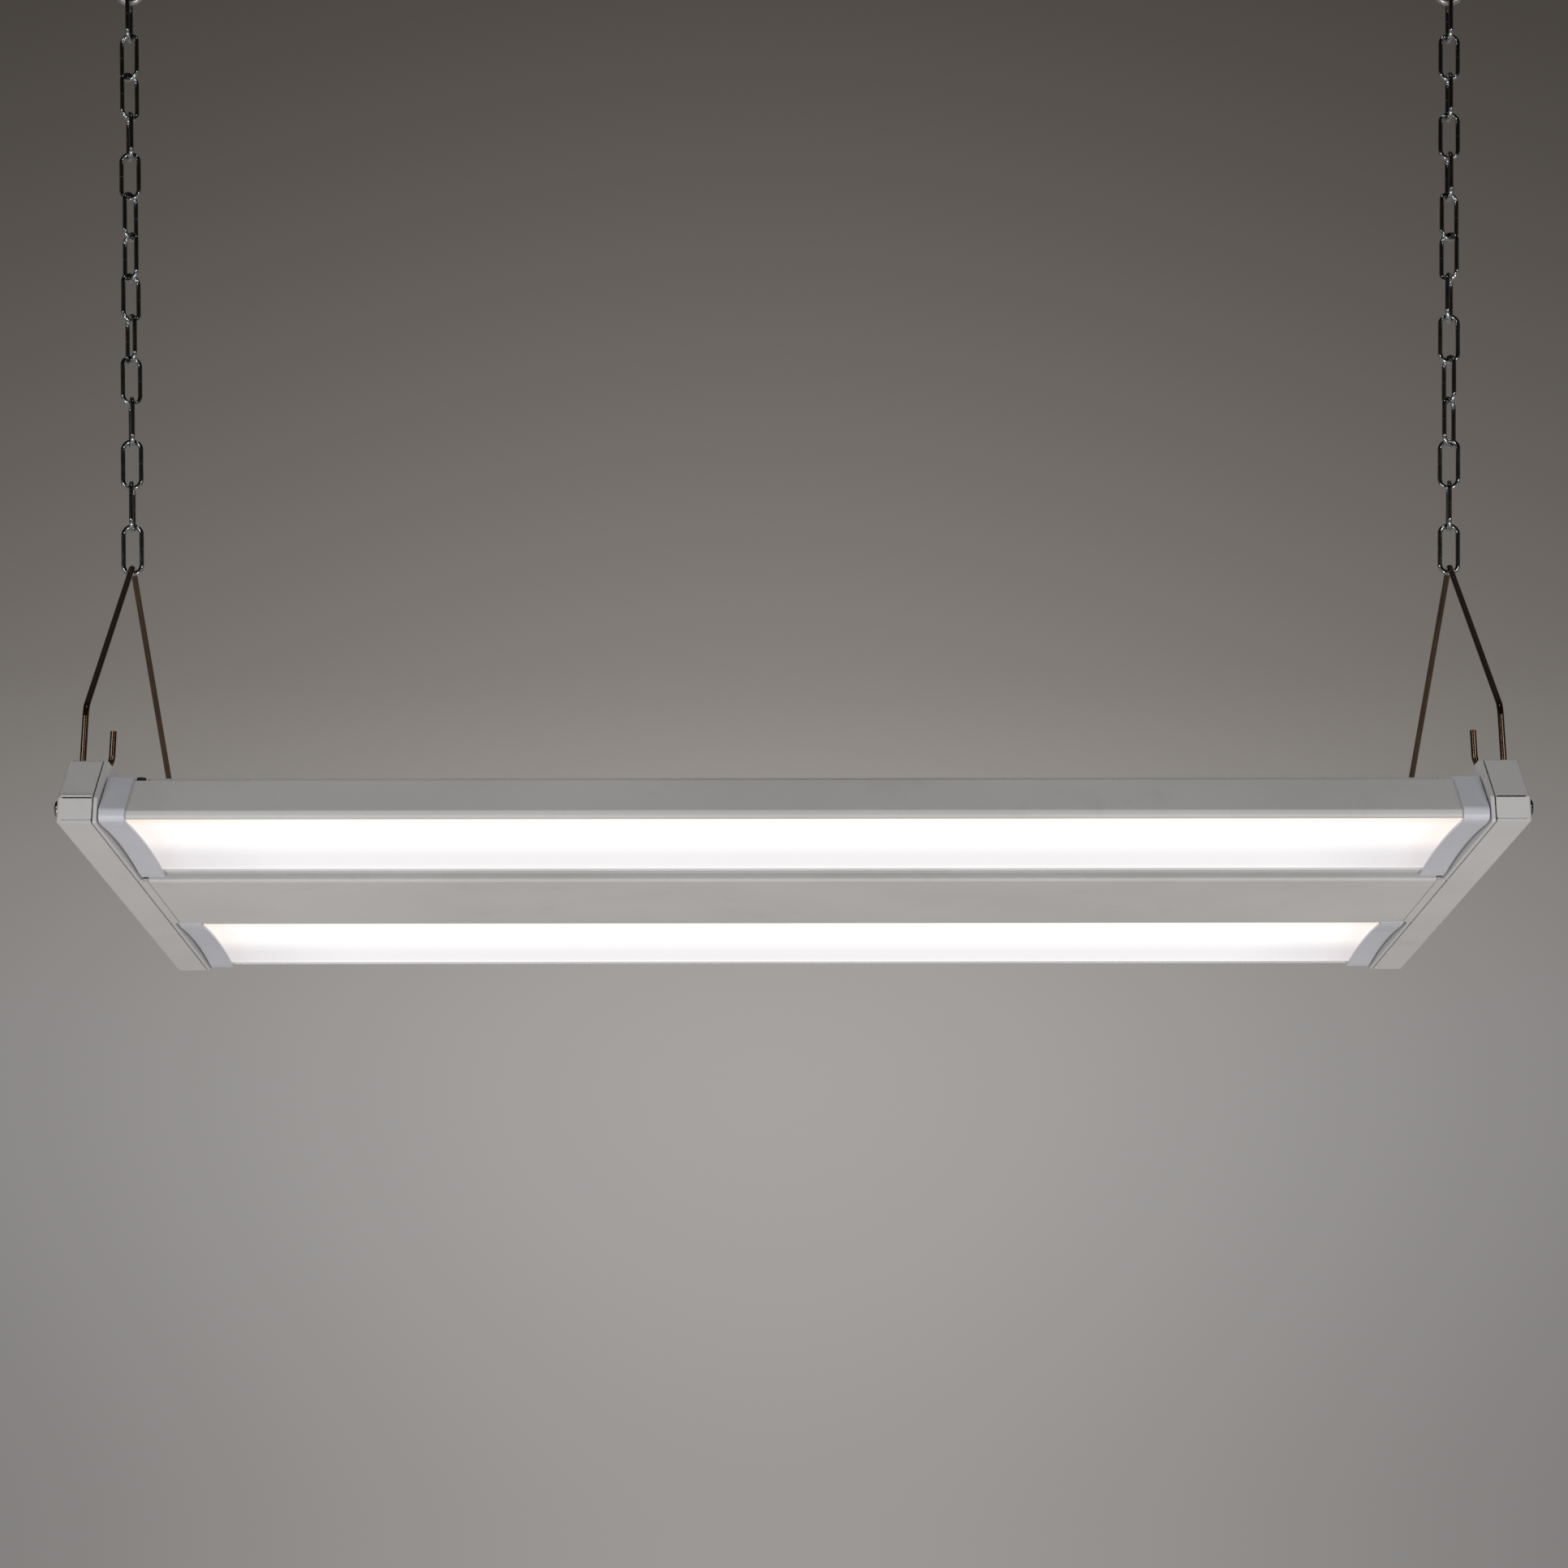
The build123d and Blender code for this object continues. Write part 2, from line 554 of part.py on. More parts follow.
# ================================================================ power inlet
with BuildPart() as inlet:
    with BuildSketch(level(cover_top)):
        with Locations((inlet_x, 0)):
            RectangleRounded(*INLET_FLANGE, radius=2 * INLET_EDGE)
    extrude(amount=INLET_FLANGE_THICKNESS)
    fillet(inlet.faces().sort_by(Axis.Z)[-1].edges(), radius=INLET_EDGE)
    with BuildSketch(level(cover_top - INLET_BODY_DEPTH)):
        with Locations((inlet_x, 0)):
            RectangleRounded(*INLET_BODY, radius=INLET_EDGE)
    extrude(amount=INLET_BODY_DEPTH + INLET_RISE)
    fillet(inlet.faces().sort_by(Axis.Z)[-1].edges(), radius=INLET_EDGE)
    with BuildSketch(level(cover_top + INLET_RISE)):
        with Locations((inlet_x, 0)):
            Rectangle(*INLET_SOCKET)
            chamfer(vertices().group_by(Axis.Y)[-1], length=INLET_CORNER)
            fillet(vertices(), radius=1)
    extrude(amount=-INLET_SOCKET_DEPTH, mode=Mode.SUBTRACT)
save(inlet.part, "power_inlet")

socket_floor = cover_top + INLET_RISE - INLET_SOCKET_DEPTH
with BuildPart() as inlet_blades:
    with BuildSketch(level(socket_floor)):
        with Locations(
            (inlet_x - BLADE_SPREAD, -BLADE_EARTH_OFFSET),
            (inlet_x + BLADE_SPREAD, -BLADE_EARTH_OFFSET),
            (inlet_x, BLADE_EARTH_OFFSET),
        ):
            Rectangle(*BLADE)
    extrude(amount=BLADE_LENGTH)
    chamfer(inlet_blades.faces().group_by(Axis.Z)[-1].edges(), length=0.4)
save(inlet_blades.part, "inlet_blades")

# ================================================================ frame, bars and screws
for side, side_name in ((-1, "left"), (1, "right")):
    end_channel(side, f"{side_name}_end_channel")
    end_plate(side, f"{side_name}_end_plate")

side_screw_planes = [
    Plane(
        origin=(side * half_length, end * side_screw_y, lamp_z + SIDE_SCREW_HEIGHT),
        x_dir=(0, 1, 0),
        z_dir=(side, 0, 0),
    )
    for side in (-1, 1)
    for end in (-1, 1)
]
screw_group(
    "channel_screws",
    [screw(plane, SIDE_SCREW_HEAD, SIDE_SCREW_RADIUS, SIDE_SCREW_LENGTH) for plane in side_screw_planes],
)

top_screw_places = [(x, bar * y) for x, y in bar_screws for bar in (-1, 1)]
top_screw_places += tray_screws
top_screw_places += [(side * lug_screw_x, y) for side in (-1, 1) for y in lug_screw_ys]
top_screw_places += [(-driver_screw_x, 0), (driver_screw_x, 0)]
screw_group(
    "top_screws",
    [
        screw(
            Plane(origin=(x, y, lamp_z + cover_top)),
            TOP_SCREW_HEAD,
            TOP_SCREW_RADIUS,
            TOP_SCREW_LENGTH,
        )
        for x, y in top_screw_places
    ],
)

for bar, bar_name in ((-1, "front"), (1, "rear")):
    bar_housing(bar, f"{bar_name}_housing")
    bar_lens(bar, f"{bar_name}_lens")
    led_board(bar, f"{bar_name}_led_board")
    led_chips(bar, f"{bar_name}_led_chips")
    for side, side_name in ((-1, "left"), (1, "right")):
        bar_cap(side, bar, f"{bar_name}_{side_name}_cap")


# ================================================================ leads
def lead(points, radii, name):
    """Round insulated lead along straight runs joined by tangent arcs."""
    with BuildPart() as wire:
        with BuildLine() as route:
            FilletPolyline(*points, radius=radii)
        with BuildSketch(Plane(origin=route.line @ 0, z_dir=route.line % 0)):
            Circle(LEAD_RADIUS)
        sweep(path=route.line)
    save(wire.part, name)


lead_top = lamp_z + housing_top + LEAD_RADIUS + LEAD_CLEARANCE
lead_middle = lamp_z + cover_bottom - DRIVER_HEIGHT / 2
lead_drop_y = upper_lug_half + 4 * LEAD_RADIUS
driver_end = DRIVER_LENGTH / 2
driver_lead_y = DRIVER_WIDTH / 4
for bar, bar_name in ((-1, "front"), (1, "rear")):
    lead(
        [
            (-lead_x, bar * grommet_y, lamp_z + board_top + LEAD_CLEARANCE),
            (-lead_x, bar * grommet_y, lead_top),
            (-lead_x, bar * lead_drop_y, lead_top),
            (-lead_x, bar * lead_drop_y, lead_middle),
            (-driver_end - LEAD_SLACK, bar * driver_lead_y, lead_middle),
            (-driver_end, bar * driver_lead_y, lead_middle),
        ],
        [LEAD_TIGHT_BEND, LEAD_BEND, LEAD_BEND, LEAD_WIDE_BEND],
        f"{bar_name}_lead",
    )

inlet_lead_x = inlet_x - INLET_BODY[0] / 2
inlet_lead_z = lamp_z + cover_top - INLET_BODY_DEPTH + 2 * LEAD_RADIUS
lead(
    [
        (inlet_lead_x, 0, inlet_lead_z),
        (inlet_lead_x - LEAD_SLACK, 0, inlet_lead_z),
        (driver_end + LEAD_SLACK, driver_lead_y, inlet_lead_z),
        (driver_end, driver_lead_y, inlet_lead_z),
    ],
    [LEAD_WIDE_BEND, LEAD_WIDE_BEND],
    "inlet_lead",
)

with BuildPart() as lead_grommets:
    with BuildSketch(level(housing_top - SHEET)):
        for bar in (-1, 1):
            with Locations((-lead_x, bar * grommet_y)):
                Circle(GROMMET_RADIUS - THREAD_CLEARANCE)
                Circle(LEAD_RADIUS + LEAD_CLEARANCE, mode=Mode.SUBTRACT)
            with Locations((-lead_x, bar * (grommet_y - GROMMET_RADIUS))):
                Rectangle(2 * (LEAD_RADIUS + LEAD_CLEARANCE), 2 * GROMMET_RADIUS, mode=Mode.SUBTRACT)
    extrude(amount=SHEET + GROMMET_HEIGHT)
save(lead_grommets.part, "lead_grommets")


# ================================================================ suspension
def hanger(side, name):
    """Wire V whose upright legs end in hooks that turn under the channel's top flange."""
    hook_bottom = -SHEET - HANGER_HOOK_GAP - HANGER_WIRE / 2
    toe = HANGER_HOOK_WIDTH - (HANGER_KNEE_HEIGHT - hook_bottom)

    def place(across, depth, height):
        return Vector(side * (hanger_x + across), depth, apex_z - HANGER_HEIGHT + height)

    half_route = [
        (-HANGER_HOOK_WIDTH, hanger_half_spread, HANGER_TIP_HEIGHT),
        (-HANGER_HOOK_WIDTH, hanger_half_spread, HANGER_KNEE_HEIGHT),
        (-toe, hanger_half_spread, hook_bottom),
        (0, hanger_half_spread, hook_bottom),
        (0, hanger_half_spread, HANGER_BEND_HEIGHT),
    ]
    half_bends = [HANGER_KNEE_BEND, HANGER_TOE_BEND, HANGER_HEEL_BEND, HANGER_BEND]
    # The straight legs would meet above the bent wire's top by what the apex bend cuts off.
    leg_rise = ((HANGER_HEIGHT - HANGER_BEND_HEIGHT) ** 2 + HANGER_APEX_OUT**2) ** 0.5
    leg_length = (leg_rise**2 + hanger_half_spread**2) ** 0.5
    cut_off = HANGER_APEX_BEND * (leg_length / hanger_half_spread - 1)
    upwards = Vector(HANGER_APEX_OUT, 0, HANGER_HEIGHT - HANGER_BEND_HEIGHT).normalized()
    peak = (HANGER_APEX_OUT + cut_off * upwards.X, 0, HANGER_HEIGHT + cut_off * upwards.Z)
    front = [place(across, -depth, height) for across, depth, height in half_route]
    rear = [place(across, depth, height) for across, depth, height in reversed(half_route)]
    with BuildPart() as wire:
        with BuildLine() as route:
            FilletPolyline(
                *front,
                place(*peak),
                *rear,
                radius=[*half_bends, HANGER_APEX_BEND, *reversed(half_bends)],
            )
        with BuildSketch(Plane(origin=route.line @ 0, z_dir=route.line % 0)):
            Circle(HANGER_WIRE / 2)
        sweep(path=route.line)
    save(wire.part, name)


def chain_link(side, number, twist, name):
    """One stadium-shaped link, a quarter turn from its neighbours apart from the chain's twist."""
    upwards = line_direction(side)
    centre = line_point(
        side, first_link_low + (number - 1) * LINK_PITCH + (link_inner + LINK_WIRE) / 2
    )
    quarter_turn = 90 * ((number + 1) % 2)
    width_axis = Vector(0, -side, 0).cross(upwards).rotate(Axis((0, 0, 0), upwards), quarter_turn + twist)
    normal = width_axis.cross(upwards)
    half_width = (LINK_WIDTH - LINK_WIRE) / 2
    straight = (link_inner + LINK_WIRE) / 2 - half_width
    link_plane = Plane(origin=centre, x_dir=width_axis, z_dir=normal)
    with BuildPart() as link:
        with BuildLine(link_plane):
            side_a = Line((half_width, 0), (half_width, straight))
            bow = ThreePointArc(
                (half_width, straight), (0, straight + half_width), (-half_width, straight)
            )
            side_b = Line((-half_width, straight), (-half_width, 0))
        with BuildSketch(Plane(origin=side_a @ 0, z_dir=side_a % 0)):
            Circle(LINK_WIRE / 2)
        sweep(path=Wire([side_a, bow, side_b]))
        mirror(about=Plane(origin=centre, z_dir=upwards))
        with BuildSketch(Plane(origin=side_a @ 0 - upwards * (LINK_SEAM / 2), z_dir=upwards)):
            Circle(LINK_WIRE)
            Circle(LINK_WIRE / 2 - LINK_SEAM_DEPTH, mode=Mode.SUBTRACT)
        extrude(amount=LINK_SEAM, mode=Mode.SUBTRACT)
    save(link.part, name)


def ceiling_hook(side, name):
    """Screw hook: point and shank above the ceiling plane, flange and round hook below."""
    hook_plane = Plane(origin=(side * hook_x, 0, 0), x_dir=(1, 0, 0), z_dir=(0, -1, 0))
    with BuildPart() as hook:
        with BuildSketch(Plane(origin=(side * hook_x, 0, -HOOK_FLANGE[1]))):
            Circle(HOOK_FLANGE[0])
        extrude(amount=HOOK_FLANGE[1])
        fillet(hook.edges().group_by(Axis.Z)[0], radius=0.6)
        with BuildSketch(Plane(origin=(side * hook_x, 0, 0))):
            Circle(HOOK_SCREW_RADIUS)
        extrude(amount=HOOK_SCREW_LENGTH)
        with BuildSketch(Plane(origin=(side * hook_x, 0, HOOK_SCREW_LENGTH))):
            Circle(HOOK_SCREW_RADIUS)
        with BuildSketch(
            Plane(origin=(side * hook_x, 0, HOOK_SCREW_LENGTH + HOOK_SCREW_POINT))
        ):
            Circle(HOOK_SCREW_RADIUS / 8)
        loft()
        with BuildLine(hook_plane) as route:
            neck = Line((0, -HOOK_FLANGE[1] / 2), (0, -HOOK_FLANGE[1] - HOOK_NECK))
            bend = JernArc(start=neck @ 1, tangent=neck % 1, radius=HOOK_NECK_BEND, arc_size=hook_neck_angle)
            JernArc(
                start=bend @ 1,
                tangent=bend % 1,
                radius=HOOK_RADIUS,
                arc_size=-(hook_neck_angle + 180 + HOOK_TIP_ANGLE),
            )
        with BuildSketch(Plane(origin=neck @ 0, z_dir=neck % 0)):
            Circle(HOOK_WIRE / 2)
        sweep(path=route.line)
    save(hook.part, name)


for side, side_name, twists in (
    (-1, "left", LEFT_CHAIN_TWIST),
    (1, "right", RIGHT_CHAIN_TWIST),
):
    ceiling_hook(side, f"{side_name}_ceiling_hook")
    hanger(side, f"{side_name}_hanger")
    for number, twist in enumerate(twists, 1):
        chain_link(side, number, twist, f"{side_name}_link_{number:02d}")
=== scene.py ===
"""The looks of a two-bar LED grow lamp that hangs on two chains.

Every object is in metres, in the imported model's own frame: the origin is on the ceiling plane
midway between the ceiling hooks, +X to the lamp's right, +Y to its rear and +Z up.
"""

import math

import bmesh
import bpy
from mathutils import Matrix, Vector

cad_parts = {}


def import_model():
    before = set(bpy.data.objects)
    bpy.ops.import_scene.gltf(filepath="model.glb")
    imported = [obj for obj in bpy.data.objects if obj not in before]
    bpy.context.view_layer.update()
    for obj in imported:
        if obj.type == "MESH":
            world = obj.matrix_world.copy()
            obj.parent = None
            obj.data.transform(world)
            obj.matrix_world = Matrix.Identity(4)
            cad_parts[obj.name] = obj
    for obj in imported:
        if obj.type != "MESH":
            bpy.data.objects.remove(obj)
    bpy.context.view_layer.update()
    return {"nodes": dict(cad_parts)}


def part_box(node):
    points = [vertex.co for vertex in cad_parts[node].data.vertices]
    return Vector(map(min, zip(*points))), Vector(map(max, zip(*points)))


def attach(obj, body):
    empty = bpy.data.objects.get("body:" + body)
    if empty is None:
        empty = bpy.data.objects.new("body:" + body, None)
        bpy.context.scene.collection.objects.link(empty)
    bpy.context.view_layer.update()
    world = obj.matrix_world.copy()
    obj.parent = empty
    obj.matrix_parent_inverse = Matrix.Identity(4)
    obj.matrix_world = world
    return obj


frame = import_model()

SIDES = ("left", "right")
MM = 0.001

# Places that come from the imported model
lens_low, lens_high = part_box("front_lens")
rear_lens_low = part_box("rear_lens")[0]
lamp_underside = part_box("left_end_channel")[0].z

# The lens's edges that its housing and caps cover, and how far in from its end it dims
LENS_OUTER = 1.1 * MM
LENS_INNER = 3.9 * MM
CAP_COVER = 9.0 * MM
END_DIM = 75.0 * MM
LAST_DIM = 24.0 * MM

# Rolled edges of the end channels' folded tabs, and a dark bead of painted shadow in the seam
# under the slope: radii, and depths inside the channel's face
FACE_HEIGHT = 11.0 * MM  # upright part of the channel's ends
FOLD_HEIGHT = 1.5 * MM  # fold between the floor and the upright part
SEAM_SHADOW_RADIUS = 0.42 * MM
SEAM_DEPTH = 0.47 * MM
LIP = 0.5 * MM
LIP_DEPTH = 0.6 * MM
# The lip stands this far above the top of the painted seam shadow.
LIP_RISE = 0.4 * MM  # above the seam's edge
FOLD = 0.45 * MM
CORNER = 1.2 * MM
OPEN_EDGE = 0.3 * MM
EDGE_RING = 20  # points round an edge
EDGE_RINGS = 13
EDGE_CUTS = 12
EDGE_WAVES = 5  # half waves along each half of an edge
EDGE_SWELL = 0.06  # share of the radius

# Surface detail
BEVEL_SAMPLES = 6
DRAWING_MARK = 0.0015 * MM

# Camera, in front of the lamp and below it, looking up
CAMERA_LENS = 73.25
CAMERA_SENSOR = 36.0
CAMERA_TURN = (15.731, 0.129, -0.243)  # degrees: up, clockwise and to the right
CAMERA_DROP = 0.3477  # below the lamp's underside
CAMERA_DISTANCE = 1.4374  # in front of the ceiling hooks
CAMERA_SIDE = -0.0108  # of the middle between the hooks

# Stage
FLOOR_HEIGHT = -2.8
FLOOR_SIZE = 60.0
FLOOR_GLOW = (152, 149, 148)
# Backdrop colour against the sine of the elevation: pale low down, dark at the top
BACKDROP = (
    (0.05, (155, 152, 150)),
    (0.20, (165, 162, 160)),
    (0.30, (135, 130, 125)),
    (0.50, (80, 75, 70)),
)
# Share of that colour that is left towards both sides, against the direction's X
SIDE_FALL = ((-0.3, 0.6), (0.0, 1.0), (0.3, 0.6))
# Share that is left in the dimmer room in front of the lamp, against the direction's Y
ROOM = ((-0.7, 0.22), (-0.1, 0.6), (0.3, 1.0))

# Softboxes: place, width, height, power, and whether shiny pieces mirror them
LIGHTS = {
    "low_left": ((-0.9, -2.0, -1.9), 0.6, 0.6, 13.0, True),
    "low_right": ((0.9, -2.0, -1.9), 0.6, 0.6, 13.0, True),
    "front_left": ((-1.4, -2.2, 0.12), 0.6, 0.36, 5.8, True),
    "front_right": ((1.4, -2.2, 0.12), 0.6, 0.36, 5.8, True),
    "kick_left": ((-0.8, -1.0, -1.9), 0.2, 0.2, 1.6, True),
    "kick_right": ((0.8, -1.0, -1.9), 0.2, 0.2, 1.6, True),
    "above_front": ((0.0, -0.9, 1.3), 0.25, 0.25, 1.2, True),
    "under": ((0.0, -0.3, -2.0), 0.6, 0.6, 0.7, False),
    "above": ((0.0, -0.3, 0.15), 0.5, 0.3, 0.8, False),
    "behind": ((0.0, 1.7, 1.4), 0.8, 0.8, 45.0, False),
}


# ---------------------------------------------------------------- colour and node helpers
def tone(red, green, blue):
    """A colour written as display values from 0 to 255, as linear RGBA."""

    def linear(value):
        value = value / 255
        return value / 12.92 if value <= 0.04045 else ((value + 0.055) / 1.055) ** 2.4

    return (linear(red), linear(green), linear(blue), 1.0)


class Shader:
    """A material with one Principled shader, and short calls for the nodes that feed it."""

    def __init__(self, name):
        self.material = bpy.data.materials.new(name)
        self.material.use_nodes = True
        self.tree = self.material.node_tree
        self.surface = self.tree.nodes["Principled BSDF"]
        self.place = self.node("ShaderNodeTexCoord").outputs["Object"]

    def node(self, kind, **settings):
        """A new node, with its own settings written on it."""
        made = self.tree.nodes.new(kind)
        for key, value in settings.items():
            setattr(made, key, value)
        return made

    def join(self, source, target):
        self.tree.links.new(source, target)

    def put(self, socket, value):
        """Links value to the socket if it is a socket itself, and otherwise writes it there."""
        if isinstance(value, bpy.types.NodeSocket):
            self.join(value, socket)
        else:
            socket.default_value = value

    def set(self, **values):
        """Writes the Principled shader's own sockets, named with underscores for spaces."""
        for key, value in values.items():
            self.put(self.surface.inputs[key.replace("_", " ")], value)

    def noise(self, scale, detail=3.0, roughness=0.55, stretch=None, distortion=0.0):
        texture = self.node("ShaderNodeTexNoise")
        texture.inputs["Scale"].default_value = scale
        texture.inputs["Detail"].default_value = detail
        texture.inputs["Roughness"].default_value = roughness
        texture.inputs["Distortion"].default_value = distortion
        self.join(self.stretched(stretch), texture.inputs["Vector"])
        return texture.outputs["Fac"]

    def cells(self, scale):
        """How far each point is from the middle of its cell."""
        texture = self.node("ShaderNodeTexVoronoi")
        texture.inputs["Scale"].default_value = scale
        self.join(self.place, texture.inputs["Vector"])
        return texture.outputs["Distance"]

    def stretched(self, stretch):
        """The place that a texture is read at, with its axes scaled."""
        if stretch is None:
            return self.place
        mapping = self.node("ShaderNodeMapping")
        mapping.inputs["Scale"].default_value = stretch
        self.join(self.place, mapping.inputs["Vector"])
        return mapping.outputs["Vector"]

    def span(self, value, low, high, start=0.0, end=1.0, smooth=False):
        """Maps low..high to start..end, and clamps."""
        made = self.node("ShaderNodeMapRange")
        made.interpolation_type = "SMOOTHSTEP" if smooth else "LINEAR"
        self.join(value, made.inputs["Value"])
        limits = {"From Min": low, "From Max": high, "To Min": start, "To Max": end}
        for key, number in limits.items():
            made.inputs[key].default_value = number
        return made.outputs["Result"]

    def math(self, operation, *values):
        made = self.node("ShaderNodeMath", operation=operation)
        for number, value in enumerate(values):
            self.put(made.inputs[number], value)
        return made.outputs[0]

    def blend(self, amount, first, second, kind="MIX"):
        made = self.node("ShaderNodeMix", data_type="RGBA", blend_type=kind)
        self.put(made.inputs[0], amount)
        self.put(made.inputs[6], first)
        self.put(made.inputs[7], second)
        return made.outputs[2]

    def blend_number(self, amount, first, second):
        made = self.node("ShaderNodeMix", data_type="FLOAT")
        self.put(made.inputs[0], amount)
        self.put(made.inputs[2], first)
        self.put(made.inputs[3], second)
        return made.outputs[0]

    def axis(self, name):
        """One coordinate of the place on the object."""
        parts = self.node("ShaderNodeSeparateXYZ")
        self.join(self.place, parts.inputs[0])
        return parts.outputs[name]

    def bump(self, height, distance, strength=1.0, under=None):
        made = self.node("ShaderNodeBump")
        made.inputs["Strength"].default_value = strength
        made.inputs["Distance"].default_value = distance
        self.join(height, made.inputs["Height"])
        if under is not None:
            self.join(under, made.inputs["Normal"])
        return made.outputs["Normal"]

    def rounded(self, radius):
        """Normals that catch light as softened edges of that radius do."""
        made = self.node("ShaderNodeBevel", samples=BEVEL_SAMPLES)
        made.inputs["Radius"].default_value = radius
        return made.outputs["Normal"]


# ---------------------------------------------------------------- materials
def paint_material():
    """Warm white powder coat on steel: orange peel, faint mottling, dust and a few chips."""
    made = Shader("powder_coat")
    broad = made.noise(7.0, detail=4.0)
    colour = made.blend(made.span(broad, 0.35, 0.65), tone(195, 194, 192), tone(205, 204, 203))
    smudge = made.noise(38.0, detail=5.0, roughness=0.65, distortion=0.6)
    colour = made.blend(made.span(smudge, 0.58, 0.74, 0.0, 0.22), colour, tone(172, 168, 162))
    chip = made.span(made.cells(150.0), 0.05, 0.11, 1.0, 0.0)
    rare = made.span(made.noise(23.0, detail=2.0), 0.70, 0.74)
    chip = made.math("MULTIPLY", chip, rare)
    colour = made.blend(chip, colour, tone(70, 62, 55))
    peel = made.noise(1100.0, detail=2.0)
    waves = made.noise(60.0, detail=1.0)
    normal = made.bump(peel, 0.06 * MM, under=made.rounded(0.4 * MM))
    normal = made.bump(waves, 0.1 * MM, strength=0.25, under=normal)
    made.set(
        Base_Color=colour,
        Roughness=made.span(broad, 0.3, 0.7, 0.36, 0.48),
        Normal=normal,
        Specular_IOR_Level=0.45,
    )
    return made.material


def cap_material():
    """Cool white moulded plastic with a fine spark-eroded grain."""
    made = Shader("moulded_cap")
    broad = made.noise(22.0, detail=3.0)
    colour = made.blend(made.span(broad, 0.35, 0.65), tone(197, 199, 207), tone(206, 208, 215))
    scuff = made.noise(300.0, detail=4.0, stretch=(1.0, 0.25, 1.0))
    colour = made.blend(made.span(scuff, 0.62, 0.8, 0.0, 0.2), colour, tone(168, 168, 174))
    grain = made.noise(2600.0, detail=2.0)
    made.set(
        Base_Color=colour,
        Roughness=made.span(broad, 0.3, 0.7, 0.3, 0.42),
        Normal=made.bump(grain, 0.03 * MM, under=made.rounded(0.5 * MM)),
    )
    return made.material


def lens_material():
    """A lit frosted diffuser: warm at its front edge and ends, greyer to its rear edge by painted
    shade, with a painted highlight along that edge.
    """
    made = Shader("lit_diffuser")
    across = made.axis("Y")
    is_rear = made.math("GREATER_THAN", across, (lens_high.y + rear_lens_low.y) / 2)
    edges = (lens_low.y + LENS_OUTER, rear_lens_low.y + LENS_INNER)
    front_edge = made.blend_number(is_rear, *edges)
    opening = lens_high.y - lens_low.y - LENS_OUTER - LENS_INNER
    place = made.math("DIVIDE", made.math("SUBTRACT", across, front_edge), opening)
    along = made.math("ABSOLUTE", made.axis("X"))
    end = made.span(along, lens_high.x - END_DIM, lens_high.x - CAP_COVER, smooth=True)
    last = made.span(along, lens_high.x - LAST_DIM, lens_high.x - CAP_COVER, smooth=True)
    warm = made.span(place, 0.24, 0.05, smooth=True)
    # Painted shade: the glow greys from the middle towards the rear edge.
    grey = made.span(place, 0.5, 0.82, smooth=True)
    # Painted highlight: a lighter thin line along the rear edge.
    painted_rim_highlight = made.span(place, 0.93, 0.99, smooth=True)
    glow = made.blend(warm, tone(254, 254, 255), tone(248, 241, 231))
    glow = made.blend(grey, glow, tone(234, 231, 232))
    glow = made.blend(painted_rim_highlight, glow, tone(239, 238, 239))
    dimmer = made.blend(grey, tone(250, 246, 242), tone(237, 236, 238))
    glow = made.blend(end, glow, made.blend(1.0, glow, dimmer, kind="MULTIPLY"))
    glow = made.blend(last, glow, made.blend(1.0, glow, tone(248, 244, 241), kind="MULTIPLY"))
    frost = made.noise(1500.0, detail=2.0)
    drift = made.noise(6.0, detail=2.0)
    glow = made.blend(made.span(frost, 0.3, 0.7, 0.0, 0.03), glow, tone(225, 225, 230))
    glow = made.blend(made.span(drift, 0.4, 0.7, 0.0, 0.06), glow, tone(236, 236, 242))
    made.set(
        Base_Color=tone(90, 90, 90),
        Emission_Color=glow,
        Emission_Strength=1.0,
        Roughness=0.5,
        Normal=made.bump(frost, 0.03 * MM),
    )
    return made.material


def plated_material(name, dark, light, roughness):
    """Plated steel: reflections broken by drawing marks, with dull film in patches."""
    made = Shader(name)
    patches = made.noise(140.0, detail=4.0, roughness=0.6)
    colour = made.blend(made.span(patches, 0.35, 0.65), dark, light)
    film = made.noise(42.0, detail=5.0, distortion=0.8)
    colour = made.blend(made.span(film, 0.55, 0.75, 0.0, 0.3), colour, tone(40, 36, 32))
    marks = made.noise(300.0, detail=2.0, stretch=(1.0, 1.0, 0.15))
    made.set(
        Base_Color=colour,
        Metallic=1.0,
        Roughness=made.span(patches, 0.3, 0.7, roughness * 0.8, roughness * 1.25),
        Normal=made.bump(marks, DRAWING_MARK),
    )
    return made.material


def hanger_material():
    """Bent steel wire, browned almost black under clear lacquer, with olive worn patches."""
    made = Shader("browned_wire")
    patches = made.noise(40.0, detail=3.0, roughness=0.6)
    colour = made.blend(made.span(patches, 0.38, 0.66), tone(66, 48, 31), tone(84, 64, 43))
    rubbed = made.span(made.noise(150.0, detail=3.0), 0.62, 0.72, 0.0, 0.4)
    colour = made.blend(rubbed, colour, tone(98, 83, 60))
    drawn = made.noise(120.0, detail=2.0, stretch=(1.0, 1.0, 0.06))
    made.set(
        Base_Color=colour,
        Metallic=0.9,
        Roughness=made.span(patches, 0.3, 0.7, 0.12, 0.18),
        Normal=made.bump(drawn, DRAWING_MARK),
        Coat_Weight=0.5,
        Coat_Roughness=0.08,
    )
    return made.material


def plain_material(name, first, second, roughness, metallic=0.0):
    """Two near tones mottled together, with a fine grain: small pieces and those inside."""
    made = Shader(name)
    mottle = made.noise(45.0, detail=4.0)
    grain = made.noise(700.0, detail=3.0)
    made.set(
        Base_Color=made.blend(made.span(mottle, 0.35, 0.65), first, second),
        Metallic=metallic,
        Roughness=made.span(mottle, 0.3, 0.7, roughness * 0.85, roughness * 1.15),
        Normal=made.bump(grain, 0.04 * MM),
    )
    return made.material


